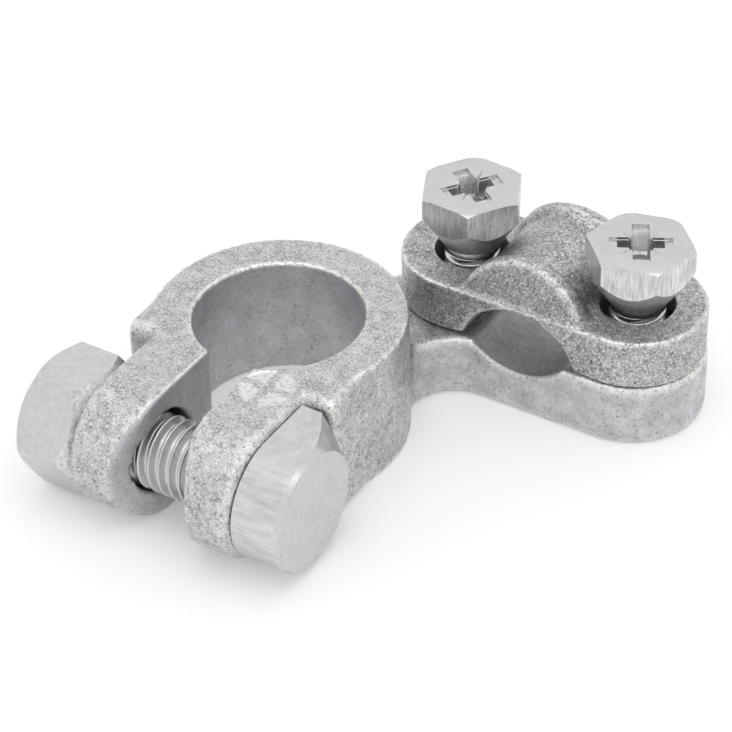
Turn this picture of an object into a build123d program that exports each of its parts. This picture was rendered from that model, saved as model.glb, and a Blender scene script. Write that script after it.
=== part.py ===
"""Battery terminal clamp: split ring for the post, cable saddle, bolt, nut and two screws.

Millimetres. The origin is on the post axis at the underside of the ring, +Z is up,
X runs along the clamp bolt from the nut to the head, and Y from the jaws to the cable.
"""
import os
from math import cos, pi, radians, sin, sqrt

from build123d import *

# ---- driving dimensions -------------------------------------------------
POST_DIAMETER = 17.5          # bore at its small end, on top
POST_TAPER = 9.0              # one in nine, measured on the diameter
RING_HEIGHT = 14.3
RING_RADIUS = 13.35
SLOT_WIDTH = 5.2
SLOT_MOUTH_WIDTH = 9.0        # the slot opens towards the ends of the jaws
SLOT_MOUTH_START = 2.5        # how far past the bolt's axis it starts to open
WALL_X = 13.1                 # side walls that run from the ring to the shoulders
WALL_START_Y = -2.2

BOLT_Y = -17.0
BOLT_Z = RING_HEIGHT / 2
BOLT_RADIUS = 4.0             # M8
BOLT_LENGTH = 27.0
BOLT_HEAD_RADIUS = 6.5
BOLT_HEAD_HEIGHT = 5.3
BOLT_HEAD_CHAMFER = 3.0       # at the square corner
BOLT_HEAD_RIM = 0.5           # on the round side
BOLT_FACE_RADIUS = 6.2
BOLT_TIP_CHAMFER = 0.8
JAW_REACH = 9.7               # bolt seats, each side of the slot's middle
BOLT_HOLE_RADIUS = 4.4
BOLT_HOLE_RISE = 0.25         # cast a little above the bolt
BOLT_HEAD_SIDE_GAP = 0.4      # between the head's flat and the shoulder behind it
NUT_SHOULDER_Y = -8.9

NUT_ACROSS_FLATS = 13.0
NUT_HEIGHT = 6.6
NUT_SEAT_CHAMFER = 1.25
NUT_END_CHAMFER = 0.8
NUT_TURN = -4.0               # degrees about the bolt
THREAD_CLEARANCE = 0.05       # plain shanks turn in plain bores

SADDLE_X = 19.9
SADDLE_Y = 21.8
SCREW_SHIFT = 0.15            # the pair of screws sits a little to the right of the middle
SCREW_SPACING = 19.7
BASE_THICKNESS = 7.2
BASE_END_RADIUS = 8.0
BASE_END_SPACING = 19.0
ARM_FRONT_HOLLOW = 5.2        # radii of the curves that join ring and base
ARM_BACK_HOLLOW = 22.0
ARM_BITE = 0.6                # the hollow curves run this far into the ring's wall

SADDLE_THICKNESS = 5.7
SADDLE_END_RADIUS = 7.7
SADDLE_END_SPACING = 19.2
SADDLE_HOLE_RADIUS = 3.9
ARCH_RADIUS = 7.5             # rims at both ends of the arch
ARCH_AXIS_Z = 10.4
ARCH_WAIST_DEPTH = 0.7        # the arch is this much lower between its rims
ARCH_RIM_WIDTH = 1.3
ARCH_WAIST_SLOPE = 0.8         # the rims slope down to the waist over this length
ARCH_STEP_BACK = 0.1          # the crescents start just inside the plate's round
ARCH_LEAN = 0.9               # the crescent faces lean back by this much at the crown
TUNNEL_RADIUS = 6.6           # cable room under the arch
TUNNEL_AXIS_Z = 5.8
TROUGH_RADIUS = 7.2           # cable trough in the base
TROUGH_BOTTOM_Z = 4.9

SCREW_RADIUS = 3.0            # M6
SCREW_LENGTH = 13.0
SCREW_ACROSS_FLATS = 10.0
SCREW_HEAD_HEIGHT = 6.6
SCREW_HEAD_UNDERCONE = 4.1    # turned cone below the hexagon
SCREW_HEAD_NECK_RADIUS = 3.2
SCREW_TOP_CHAMFER = 0.25
SCREW_TIP_CHAMFER = 0.6
LEFT_SCREW_TOP_Z = 20.6
RIGHT_SCREW_TOP_Z = 20.2
LEFT_SCREW_TURN = -4.5        # degrees, first corner from +X
RIGHT_SCREW_TURN = 13.6

# ---- edges --------------------------------------------------------------
CAST_ROUND = 1.3
SHOULDER_ROUND = 1.0
BORE_ROUND = 0.35
BASE_ROUND = 0.7
SADDLE_ROUND = 0.35
FOOT_ROUND = 1.1              # where the saddle's feet meet the cable
RIM_ROUND = 0.8
SMALL_ROUND = 0.35

# ---- derived ------------------------------------------------------------
bore_top_radius = POST_DIAMETER / 2
bore_foot_radius = bore_top_radius + RING_HEIGHT / POST_TAPER / 2
bolt_face_x = JAW_REACH + BOLT_HEAD_HEIGHT
bolt_corner_radius = BOLT_HEAD_RADIUS * sqrt(2)
jaw_end_radius = RING_HEIGHT / 2
jaw_end_y = BOLT_Y - jaw_end_radius
slot_mouth_y = BOLT_Y - SLOT_MOUTH_START
head_shoulder_y = BOLT_Y + BOLT_HEAD_RADIUS + BOLT_HEAD_SIDE_GAP
wall_start_x = sqrt(RING_RADIUS ** 2 - WALL_START_Y ** 2)
saddle_top_z = BASE_THICKNESS + SADDLE_THICKNESS
base_front_y = SADDLE_Y - BASE_END_RADIUS
screw_left_x = SADDLE_X + SCREW_SHIFT - SCREW_SPACING / 2
screw_right_x = SADDLE_X + SCREW_SHIFT + SCREW_SPACING / 2
arch_crown_z = ARCH_AXIS_Z + ARCH_RADIUS
arch_lean_top_z = 2 * arch_crown_z - saddle_top_z
arch_foot_half = SADDLE_END_RADIUS - SADDLE_ROUND - ARCH_STEP_BACK
arch_lean_top_half = arch_foot_half - 2 * ARCH_LEAN
waist_half = arch_foot_half - ARCH_LEAN - ARCH_RIM_WIDTH
through = 2 * RING_HEIGHT     # longer than anything it cuts
CLOSE = 0.01                  # lengths nearer than this are the same

os.makedirs("parts", exist_ok=True)


def near(value, target):
    """True when two lengths match closely."""
    return abs(value - target) < CLOSE


def hexagon_points(across_flats, turn_degrees):
    """Corners of a hexagon, the first one at the given angle."""
    reach = across_flats / sqrt(3)
    return [
        (reach * cos(radians(turn_degrees) + k * pi / 3),
         reach * sin(radians(turn_degrees) + k * pi / 3))
        for k in range(6)
    ]


# ---- casting ------------------------------------------------------------
# centres of the two hollow curves where the ring flows into the base
base_end_left = Vector(SADDLE_X - BASE_END_SPACING / 2, SADDLE_Y)
front_hollow_y = base_front_y - ARM_FRONT_HOLLOW
front_hollow_x = sqrt((RING_RADIUS - ARM_BITE + ARM_FRONT_HOLLOW) ** 2 - front_hollow_y ** 2)
to_base = base_end_left.length
from_ring = RING_RADIUS - ARM_BITE + ARM_BACK_HOLLOW
along = (from_ring ** 2 - (BASE_END_RADIUS + ARM_BACK_HOLLOW) ** 2 + to_base ** 2) / to_base / 2
aside = sqrt(from_ring ** 2 - along ** 2)
toward_base = base_end_left.normalized()
back_hollow = toward_base * along + toward_base.rotate(Axis.Z, 90) * aside

# base plate with the arm that joins it to the ring, rounded before they meet
with BuildPart() as base_plate:
    with BuildSketch(Plane.XY):
        with Locations((SADDLE_X, SADDLE_Y)):
            SlotCenterToCenter(BASE_END_SPACING, 2 * BASE_END_RADIUS)
        with BuildLine():
            Polyline(
                (0, 0), (front_hollow_x, front_hollow_y), (front_hollow_x, SADDLE_Y),
                (base_end_left.X, base_end_left.Y), (back_hollow.X, back_hollow.Y), (0, 0),
            )
        make_face()
        with Locations((front_hollow_x, front_hollow_y)):
            Circle(ARM_FRONT_HOLLOW, mode=Mode.SUBTRACT)
        with Locations((back_hollow.X, back_hollow.Y)):
            Circle(ARM_BACK_HOLLOW, mode=Mode.SUBTRACT)
    extrude(amount=BASE_THICKNESS)
    fillet(
        base_plate.edges().filter_by(lambda e: near(e.bounding_box().size.Z, 0)), BASE_ROUND
    )
    # cable trough along Y
    with BuildSketch(Plane.XZ.offset(-SADDLE_Y)):
        with Locations((SADDLE_X, TROUGH_BOTTOM_Z + TROUGH_RADIUS)):
            Circle(TROUGH_RADIUS)
    extrude(amount=through, both=True, mode=Mode.SUBTRACT)

with BuildPart() as clamp_body:
    # ring with its two side walls, which stop at the shoulders
    with BuildSketch(Plane.XY):
        Circle(RING_RADIUS)
        with BuildLine():
            Polyline(
                (0, 0), (-wall_start_x, WALL_START_Y), (-WALL_X, NUT_SHOULDER_Y),
                (0, NUT_SHOULDER_Y), (0, head_shoulder_y), (WALL_X, head_shoulder_y),
                (wall_start_x, WALL_START_Y), (0, 0),
            )
        make_face()
    extrude(amount=RING_HEIGHT)
    shoulder_corners = clamp_body.edges().filter_by(Axis.Z).filter_by(
        lambda e: near(abs(e.center().X), WALL_X)
    )
    fillet(shoulder_corners, SHOULDER_ROUND)
    # jaws with full round ends about the bolt
    with BuildSketch(Plane.YZ):
        with Locations((BOLT_Y / 2, RING_HEIGHT / 2)):
            Rectangle(-BOLT_Y, RING_HEIGHT)
        with Locations((BOLT_Y, BOLT_Z)):
            Circle(jaw_end_radius)
    extrude(amount=JAW_REACH, both=True)
    # soft cast edges all round
    fillet(
        clamp_body.edges().filter_by(
            lambda e: (near(e.bounding_box().size.Z, 0) and not near(abs(e.center().X), 0))
            or (near(abs(e.center().X), JAW_REACH) and e.center().Y < BOLT_Y)
        ),
        CAST_ROUND,
    )
    add(base_plate.part)
    # tapered bore for the post, small end on top with its lip rounded
    with BuildSketch(Plane.XZ) as bore:
        with BuildLine():
            Polyline(
                (0, 0), (bore_foot_radius, 0), (bore_top_radius, RING_HEIGHT),
                (RING_RADIUS, RING_HEIGHT), (RING_RADIUS, through), (0, through), (0, 0),
            )
        make_face()
        fillet(bore.vertices().filter_by(lambda v: near(v.X, bore_top_radius)), BORE_ROUND)
    revolve(axis=Axis.Z, mode=Mode.SUBTRACT)
    # slot between the jaws, opening towards their ends
    with BuildSketch(Plane.XY):
        with BuildLine():
            Polyline(
                (-SLOT_WIDTH / 2, 0), (-SLOT_WIDTH / 2, slot_mouth_y),
                (-SLOT_MOUTH_WIDTH / 2, jaw_end_y), (SLOT_MOUTH_WIDTH / 2, jaw_end_y),
                (SLOT_WIDTH / 2, slot_mouth_y), (SLOT_WIDTH / 2, 0), (-SLOT_WIDTH / 2, 0),
            )
        make_face()
    extrude(amount=RING_HEIGHT, mode=Mode.SUBTRACT)
    # bolt hole through both jaws
    with BuildSketch(Plane.YZ):
        with Locations((BOLT_Y, BOLT_Z + BOLT_HOLE_RISE)):
            Circle(BOLT_HOLE_RADIUS)
    extrude(amount=through, both=True, mode=Mode.SUBTRACT)
    # threaded holes for the saddle screws
    with BuildSketch(Plane.XY):
        with Locations((screw_left_x, SADDLE_Y), (screw_right_x, SADDLE_Y)):
            Circle(SCREW_RADIUS + THREAD_CLEARANCE)
    extrude(amount=BASE_THICKNESS, mode=Mode.SUBTRACT)
clamp_body.part.label = "clamp_body"
export_step(clamp_body.part, "parts/clamp_body.step")

# ---- saddle -------------------------------------------------------------
with BuildPart() as saddle:
    # arch over the cable, with rims whose faces lean back
    with BuildSketch(Plane.XZ.offset(-SADDLE_Y)):
        with Locations((SADDLE_X, ARCH_AXIS_Z)):
            Circle(ARCH_RADIUS)
    extrude(amount=SADDLE_END_RADIUS, both=True)
    with BuildSketch(Plane.YZ.offset(SADDLE_X)):
        with BuildLine():
            Polyline(
                (SADDLE_Y - waist_half, arch_crown_z),
                (SADDLE_Y - waist_half + ARCH_WAIST_SLOPE, arch_crown_z - ARCH_WAIST_DEPTH),
                (SADDLE_Y + waist_half - ARCH_WAIST_SLOPE, arch_crown_z - ARCH_WAIST_DEPTH),
                (SADDLE_Y + waist_half, arch_crown_z),
                (SADDLE_Y + waist_half, arch_lean_top_z),
                (SADDLE_Y - waist_half, arch_lean_top_z),
                (SADDLE_Y - waist_half, arch_crown_z),
            )
        make_face()
    revolve(axis=Axis((SADDLE_X, 0, ARCH_AXIS_Z), (0, 1, 0)), mode=Mode.SUBTRACT)
    with BuildSketch(Plane.YZ.offset(SADDLE_X)):
        with BuildLine():
            Polyline(
                (SADDLE_Y - arch_foot_half, ARCH_AXIS_Z),
                (SADDLE_Y - arch_foot_half, saddle_top_z),
                (SADDLE_Y - arch_lean_top_half, arch_lean_top_z),
                (SADDLE_Y + arch_lean_top_half, arch_lean_top_z),
                (SADDLE_Y + arch_foot_half, saddle_top_z),
                (SADDLE_Y + arch_foot_half, ARCH_AXIS_Z),
                (SADDLE_Y - arch_foot_half, ARCH_AXIS_Z),
            )
        make_face()
    extrude(amount=ARCH_RADIUS, both=True, mode=Mode.INTERSECT)
    # rounded rims
    fillet(
        saddle.edges().filter_by(lambda e: near(e.center().Z, arch_crown_z)
                                 and e.length > ARCH_RADIUS),
        RIM_ROUND,
    )
    # plate with its two pads
    with BuildSketch(Plane.XY.offset(BASE_THICKNESS)):
        with Locations((SADDLE_X, SADDLE_Y)):
            SlotCenterToCenter(SADDLE_END_SPACING, 2 * SADDLE_END_RADIUS)
    extrude(amount=SADDLE_THICKNESS)
    fillet(
        saddle.edges().filter_by(
            lambda e: near(e.bounding_box().size.Z, 0)
            and (near(e.center().Z, BASE_THICKNESS) or near(e.center().Z, saddle_top_z))
            and (near(abs(e.center().Y - SADDLE_Y), SADDLE_END_RADIUS)
                 or abs(e.center().X - SADDLE_X) > SADDLE_END_SPACING / 2)
        ),
        SADDLE_ROUND,
    )
    # room for the cable, with the feet rounded beside it
    with BuildSketch(Plane.XZ.offset(-SADDLE_Y)) as tunnel:
        with Locations((SADDLE_X, TUNNEL_AXIS_Z)):
            Circle(TUNNEL_RADIUS)
        with Locations((SADDLE_X, BASE_THICKNESS)):
            Rectangle(2 * SADDLE_END_SPACING, TUNNEL_RADIUS, align=(Align.CENTER, Align.MAX))
        fillet(
            tunnel.vertices().filter_by(
                lambda v: near(v.Y, BASE_THICKNESS) and abs(v.X - SADDLE_X) < TUNNEL_RADIUS
            ),
            FOOT_ROUND,
        )
    extrude(amount=through, both=True, mode=Mode.SUBTRACT)
    # clearance holes for the screws
    with BuildSketch(Plane.XY.offset(BASE_THICKNESS)):
        with Locations((screw_left_x, SADDLE_Y), (screw_right_x, SADDLE_Y)):
            Circle(SADDLE_HOLE_RADIUS)
    extrude(amount=SADDLE_THICKNESS, mode=Mode.SUBTRACT)
saddle.part.label = "saddle"
export_step(saddle.part, "parts/saddle.step")

# ---- clamp bolt ---------------------------------------------------------
with BuildPart() as clamp_bolt:
    # head: round, with one square corner that bears on the ring's shoulder
    with BuildSketch(Plane.YZ.offset(JAW_REACH)):
        with Locations((BOLT_Y, BOLT_Z)):
            Circle(BOLT_HEAD_RADIUS)
            Rectangle(BOLT_HEAD_RADIUS, BOLT_HEAD_RADIUS, align=(Align.MIN, Align.MIN))
    extrude(amount=BOLT_HEAD_HEIGHT)
    # chamfer turned on the front of the head
    with BuildSketch(Plane.XZ.offset(-BOLT_Y)):
        with BuildLine():
            Polyline(
                (JAW_REACH, BOLT_Z),
                (JAW_REACH, BOLT_Z + bolt_corner_radius),
                (bolt_face_x - BOLT_HEAD_CHAMFER, BOLT_Z + bolt_corner_radius),
                (bolt_face_x - BOLT_HEAD_RIM, BOLT_Z + BOLT_HEAD_RADIUS),
                (bolt_face_x, BOLT_Z + BOLT_FACE_RADIUS),
                (bolt_face_x, BOLT_Z),
                (JAW_REACH, BOLT_Z),
            )
        make_face()
    revolve(axis=Axis((0, BOLT_Y, BOLT_Z), (1, 0, 0)), mode=Mode.INTERSECT)
    # shank
    with BuildSketch(Plane.YZ.offset(JAW_REACH)):
        with Locations((BOLT_Y, BOLT_Z)):
            Circle(BOLT_RADIUS)
    extrude(amount=-BOLT_LENGTH)
    chamfer(clamp_bolt.faces().sort_by(Axis.X)[0].edges(), BOLT_TIP_CHAMFER)
clamp_bolt.part.label = "clamp_bolt"
export_step(clamp_bolt.part, "parts/clamp_bolt.step")

# ---- nut ----------------------------------------------------------------
with BuildPart() as clamp_nut:
    with BuildSketch(Plane.YZ.offset(-JAW_REACH - NUT_HEIGHT)):
        with Locations((BOLT_Y, BOLT_Z)):
            RegularPolygon(NUT_ACROSS_FLATS / 2, 6, major_radius=False, rotation=NUT_TURN)
            Circle(BOLT_RADIUS + THREAD_CLEARANCE, mode=Mode.SUBTRACT)
    extrude(amount=NUT_HEIGHT)
    # both ends turned to a cone
    with BuildSketch(Plane.XZ.offset(-BOLT_Y)):
        with BuildLine():
            Polyline(
                (-JAW_REACH, BOLT_Z),
                (-JAW_REACH, BOLT_Z + NUT_ACROSS_FLATS / 2 - SMALL_ROUND),
                (-JAW_REACH - NUT_SEAT_CHAMFER, BOLT_Z + NUT_ACROSS_FLATS / sqrt(3)),
                (-JAW_REACH - NUT_HEIGHT + NUT_END_CHAMFER, BOLT_Z + NUT_ACROSS_FLATS / sqrt(3)),
                (-JAW_REACH - NUT_HEIGHT, BOLT_Z + NUT_ACROSS_FLATS / 2),
                (-JAW_REACH - NUT_HEIGHT, BOLT_Z),
                (-JAW_REACH, BOLT_Z),
            )
        make_face()
    revolve(axis=Axis((0, BOLT_Y, BOLT_Z), (1, 0, 0)), mode=Mode.INTERSECT)
clamp_nut.part.label = "clamp_nut"
export_step(clamp_nut.part, "parts/clamp_nut.step")

# ---- saddle screws ------------------------------------------------------
for name, screw_x, top_z, turn in (
    ("screw_left", screw_left_x, LEFT_SCREW_TOP_Z, LEFT_SCREW_TURN),
    ("screw_right", screw_right_x, RIGHT_SCREW_TOP_Z, RIGHT_SCREW_TURN),
):
    seat_z = top_z - SCREW_HEAD_HEIGHT
    corner_radius = SCREW_ACROSS_FLATS / sqrt(3)
    with BuildPart() as screw:
        # hexagon head
        with BuildSketch(Plane.XY.offset(seat_z)):
            with Locations((screw_x, SADDLE_Y)):
                Polygon(*hexagon_points(SCREW_ACROSS_FLATS, turn), align=None)
        extrude(amount=SCREW_HEAD_HEIGHT)
        # turned underside and a light chamfer on top
        with BuildSketch(Plane.XZ.offset(-SADDLE_Y)):
            with BuildLine():
                Polyline(
                    (screw_x, seat_z),
                    (screw_x + SCREW_HEAD_NECK_RADIUS, seat_z),
                    (screw_x + corner_radius, seat_z + SCREW_HEAD_UNDERCONE),
                    (screw_x + corner_radius, top_z - SCREW_TOP_CHAMFER),
                    (screw_x + corner_radius - 2 * SCREW_TOP_CHAMFER, top_z),
                    (screw_x, top_z),
                    (screw_x, seat_z),
                )
            make_face()
        revolve(axis=Axis((screw_x, SADDLE_Y, 0), (0, 0, 1)), mode=Mode.INTERSECT)
        # shank
        with BuildSketch(Plane.XY.offset(seat_z)):
            with Locations((screw_x, SADDLE_Y)):
                Circle(SCREW_RADIUS)
        extrude(amount=-SCREW_LENGTH)
        chamfer(screw.faces().sort_by(Axis.Z)[0].edges(), SCREW_TIP_CHAMFER)
    screw.part.label = name
    export_step(screw.part, f"parts/{name}.step")
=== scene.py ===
import math

import bmesh
import bpy
from mathutils import Matrix, Vector


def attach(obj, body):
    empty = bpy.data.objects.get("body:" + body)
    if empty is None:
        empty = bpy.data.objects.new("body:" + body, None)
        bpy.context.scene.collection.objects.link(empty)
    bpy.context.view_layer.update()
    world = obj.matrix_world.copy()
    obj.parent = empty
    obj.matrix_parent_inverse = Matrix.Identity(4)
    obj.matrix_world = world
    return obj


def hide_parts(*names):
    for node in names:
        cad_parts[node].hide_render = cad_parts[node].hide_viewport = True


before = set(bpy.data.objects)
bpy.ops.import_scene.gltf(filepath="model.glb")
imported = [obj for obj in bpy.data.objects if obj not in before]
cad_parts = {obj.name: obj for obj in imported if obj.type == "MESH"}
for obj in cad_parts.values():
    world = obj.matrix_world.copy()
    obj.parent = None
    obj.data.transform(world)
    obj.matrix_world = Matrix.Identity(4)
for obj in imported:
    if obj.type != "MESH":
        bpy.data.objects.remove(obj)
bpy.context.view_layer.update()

bl_info = {
    "name": "Battery terminal clamp",
    "version": (1, 0, 0),
    "blender": (4, 5, 0),
    "location": "3D View > Sidebar > Terminal clamp",
    "description": (
        "Cast ring clamp with its saddle, clamp bolt, nut and two cross-recessed screws"),
    "category": "Object",
}

MM = 0.001

# where the solid model has its pieces
RING_TOP_Z = 14.3 * MM
BOLT_AXIS_Y = -17.0 * MM
BOLT_AXIS_Z = 7.15 * MM
JAW_END_RADIUS = 7.15 * MM
HEAD_SEAT_X = 9.7 * MM
BOLT_TIP_X = -17.3 * MM
SADDLE_X = 19.9 * MM
SADDLE_Y = 21.8 * MM
SADDLE_TOP_Z = 12.9 * MM
TUNNEL_AXIS_Z = 5.8 * MM
SCREW_HEAD_HEIGHT = 6.6 * MM
SCREW_LENGTH = 13.0 * MM
SCREWS = {
    # node: (x, top of the head, turn of the recess)
    "screw_left": (10.2 * MM, 20.6 * MM, math.radians(53.8)),
    "screw_right": (29.9 * MM, 20.2 * MM, math.radians(27.8)),
}
PLUS_CENTRE = Vector((5.7 * MM, -10.6 * MM, RING_TOP_Z))

# how far faces of one kind reach, to tell them apart
BOLT_HOLE_REACH = 4.9 * MM      # from the bolt's axis
JAW_SIDE_X = 9.6 * MM
BORE_REACH = 9.75 * MM          # from the post's axis
BORE_FOOT_Z = 0.1 * MM
BORE_LIP = 0.25 * MM
SLOT_HALF_WIDTH = 2.8 * MM
SLOT_MOUTH_X = 5.0 * MM
SLOT_START_Y = -8.0 * MM
TROUGH_START_Y = 13.0 * MM
TROUGH_AXIS_Z = 12.1 * MM
TROUGH_REACH = 7.35 * MM
BASE_WALL_START_Y = 2.0 * MM
BASE_WALL_REACH = 13.8 * MM     # from the post's axis
BASE_TOP_Z = 7.0 * MM
TUNNEL_REACH = 6.85 * MM
SCREW_HOLE_REACH = 4.05 * MM
SCREW_HOLE_TOP_Z = 12.7 * MM

# tone of each casting, as a share of the clean metal's colour
BODY_TONE = 1.0
SADDLE_TONE = 0.78
CAST_RELIEF = 0.09 * MM
CORED_RELIEF = 0.05 * MM

# collar of a saddle screw: (radius, height above the head's seat), from its foot up
COLLAR = (
    (2.85 * MM, -0.937 * MM),
    (3.02 * MM, -0.8 * MM),
    (3.02 * MM, 0.313 * MM),
)

# lamp, and the view: angles in degrees, place in millimetres along the camera's own axes
KEY_PLACE = (0.06, -0.04, 0.42)
KEY_TARGET = (0.01, 0.0, 0.0)
KEY_SIZE = 0.36
VIEW_AZIMUTH, VIEW_ELEVATION, VIEW_ROLL = 33.366, 38.216, -2.189
VIEW_RIGHT, VIEW_UP, VIEW_BACK = 8.487, 5.899, 246.811
FOCAL_PIXELS = 2332.755
FRAME_PIXELS = 732.0
SENSOR_WIDTH = 36.0


# ---- sizes and finishes a user would change -----------------------------
class CastingSettings(bpy.types.PropertyGroup):
    """Sand-rough cast surfaces of the ring clamp and the saddle"""

    body_grid: bpy.props.FloatProperty(
        name="Body grid", description="Spacing of the clamp body's surface mesh",
        default=0.28 * MM, min=0.1 * MM, unit="LENGTH", precision=6)
    saddle_grid: bpy.props.FloatProperty(
        name="Saddle grid", description="Spacing of the saddle's surface mesh",
        default=0.2 * MM, min=0.1 * MM, unit="LENGTH", precision=6)
    softening: bpy.props.IntProperty(
        name="Softening", description="Smoothing passes that round the cast edges",
        default=4, min=0)
    flow: bpy.props.IntProperty(
        name="Flow", description="More passes where the metal flows round corners",
        default=22, min=0)
    dent_depth: bpy.props.FloatProperty(
        name="Dent depth", description="Deepest hollow of the uneven skin",
        default=0.07 * MM, min=0.0, unit="LENGTH", precision=6)
    dent_size: bpy.props.FloatProperty(
        name="Dent size", description="Width of the broad hollows",
        default=2.6 * MM, min=0.1 * MM, unit="LENGTH", precision=6)
    colour: bpy.props.FloatVectorProperty(
        name="Colour", description="Clean cast metal", subtype="COLOR", size=3,
        default=(0.545, 0.55, 0.565), min=0.0, max=1.0)
    # pits take this colour as dirt; the concave corners take it as painted shade
    dirt_and_shade_colour: bpy.props.FloatVectorProperty(
        name="Pit colour", description="Dirt in pits and corners", subtype="COLOR", size=3,
        default=(0.10, 0.10, 0.098), min=0.0, max=1.0)
    # rounded edges take this colour as wear and as a painted highlight; bright specks take it
    # as grain and as painted glints
    wear_and_highlight_colour: bpy.props.FloatVectorProperty(
        name="Worn colour", description="Edges rubbed bright", subtype="COLOR", size=3,
        default=(0.88, 0.87, 0.83), min=0.0, max=1.0)


class ThreadSettings(bpy.types.PropertyGroup):
    """Rolled threads of the bolt and the saddle screws"""

    bolt_radius: bpy.props.FloatProperty(
        name="Bolt radius", description="Crest radius of the clamp bolt",
        default=4.0 * MM, unit="LENGTH", precision=6)
    bolt_pitch: bpy.props.FloatProperty(
        name="Bolt pitch", description="Advance of the clamp bolt in one turn",
        default=1.25 * MM, unit="LENGTH", precision=6)
    screw_radius: bpy.props.FloatProperty(
        name="Screw radius", description="Crest radius of the saddle screws",
        default=3.0 * MM, unit="LENGTH", precision=6)
    screw_pitch: bpy.props.FloatProperty(
        name="Screw pitch", description="Advance of a saddle screw in one turn",
        default=1.0 * MM, unit="LENGTH", precision=6)
    rows: bpy.props.IntProperty(
        name="Rows in a turn", description="Mesh rows along one pitch", default=14, min=6)
    sides: bpy.props.IntProperty(
        name="Sides", description="Mesh columns round the thread", default=56, min=12)


class RecessSettings(bpy.types.PropertyGroup):
    """Cross recess in the heads of the saddle screws"""

    reach: bpy.props.FloatProperty(
        name="Reach", description="From the middle to the end of an arm",
        default=3.25 * MM, unit="LENGTH", precision=6)
    width: bpy.props.FloatProperty(
        name="Arm width", description="Width of an arm at the top",
        default=1.8 * MM, unit="LENGTH", precision=6)
    depth: bpy.props.FloatProperty(
        name="Depth", description="Depth of the recess in the middle",
        default=2.6 * MM, unit="LENGTH", precision=6)
    core_radius: bpy.props.FloatProperty(
        name="Core radius", description="Round relief between the arms",
        default=1.55 * MM, unit="LENGTH", precision=6)
    tick_reach: bpy.props.FloatProperty(
        name="Tick reach", description="Tip of the fine marks between the arms",
        default=3.15 * MM, unit="LENGTH", precision=6)


class PlatingSettings(bpy.types.PropertyGroup):
    """Bright zinc on the bolt, nut and screws"""

    colour: bpy.props.FloatVectorProperty(
        name="Colour", description="Bright zinc", subtype="COLOR", size=3,
        default=(0.60, 0.605, 0.61), min=0.0, max=1.0)
    face_roughness: bpy.props.FloatProperty(
        name="Face roughness", description="Gloss of the flat faces",
        default=0.36, min=0.0, max=1.0, subtype="FACTOR")
    side_roughness: bpy.props.FloatProperty(
        name="Side roughness", description="Gloss of the drawn and turned sides",
        default=0.2, min=0.0, max=1.0, subtype="FACTOR")
    edge_round: bpy.props.FloatProperty(
        name="Edge round", description="Soft edge of the turned and pressed pieces",
        default=0.14 * MM, unit="LENGTH", precision=6)


class PlusMarkSettings(bpy.types.PropertyGroup):
    """Polarity sign cast into the top of a jaw"""

    radius: bpy.props.FloatProperty(
        name="Radius", description="Outline of the four sunk quadrants",
        default=2.85 * MM, unit="LENGTH", precision=6)
    bar: bpy.props.FloatProperty(
        name="Bar width", description="Width of the plus between the quadrants",
        default=0.95 * MM, unit="LENGTH", precision=6)
    depth: bpy.props.FloatProperty(
        name="Depth", description="How far the quadrants are sunk",
        default=0.15 * MM, unit="LENGTH", precision=6)


class StudioSettings(bpy.types.PropertyGroup):
    """Floor, light and camera"""

    floor_colour: bpy.props.FloatVectorProperty(
        name="Floor colour", description="Pale table top", subtype="COLOR", size=3,
        default=(0.94, 0.94, 0.94), min=0.0, max=1.0)
    floor_glow: bpy.props.FloatProperty(
        name="Floor glow", description="Lifts the table to white as the background",
        default=0.17, min=0.0, max=1.0, subtype="FACTOR")
    key_power: bpy.props.FloatProperty(
        name="Key light", description="Power of the large soft box",
        default=0.36, min=0.0, subtype="POWER")
    sky_level: bpy.props.FloatProperty(
        name="Room level", description="Brightness of the pale room", default=0.8, min=0.0)


SETTINGS = {
    "clamp_casting": CastingSettings,
    "clamp_thread": ThreadSettings,
    "clamp_recess": RecessSettings,
    "clamp_plating": PlatingSettings,
    "clamp_plus": PlusMarkSettings,
    "clamp_studio": StudioSettings,
}


# ---- mesh helpers -------------------------------------------------------
def link(name, mesh):
    """Put a mesh into the scene at the origin."""
    obj = bpy.data.objects.new(name, mesh)
    bpy.context.scene.collection.objects.link(obj)
    return obj


def node_copy(node, name):
    """A merged copy of a solid model's node, with clean flats."""
    bm = bmesh.new()
    bm.from_mesh(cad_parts[node].data)
    bmesh.ops.remove_doubles(bm, verts=bm.verts, dist=0.0005 * MM)
    bmesh.ops.dissolve_limit(
        bm, angle_limit=math.radians(0.5), verts=bm.verts, edges=bm.edges)
    mesh = bpy.data.meshes.new(name)
    bm.to_mesh(mesh)
    bm.free()
    for layer in ("custom_normal", "UVMap"):
        if layer in mesh.attributes:
            mesh.attributes.remove(mesh.attributes[layer])
    return link(name, mesh)


def settle(obj):
    """Turn the object's modifiers into plain mesh."""
    bpy.context.view_layer.update()
    graph = bpy.context.evaluated_depsgraph_get()
    mesh = bpy.data.meshes.new_from_object(obj.evaluated_get(graph), depsgraph=graph)
    obj.modifiers.clear()
    old = obj.data
    obj.data = mesh
    mesh.name = obj.name
    bpy.data.meshes.remove(old)
    return obj


def discard(*objs):
    for obj in objs:
        mesh = obj.data
        bpy.data.objects.remove(obj)
        bpy.data.meshes.remove(mesh)


def soften_edges(obj, width, segments=2, angle=28.0):
    """Small rounds on the sharp edges of a turned or pressed piece."""
    bevel = obj.modifiers.new("Edge round", "BEVEL")
    bevel.width = width
    bevel.segments = segments
    bevel.limit_method = "ANGLE"
    bevel.angle_limit = math.radians(angle)
    bevel.harden_normals = True
    for face in obj.data.polygons:
        face.use_smooth = True
    return settle(obj)


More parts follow.
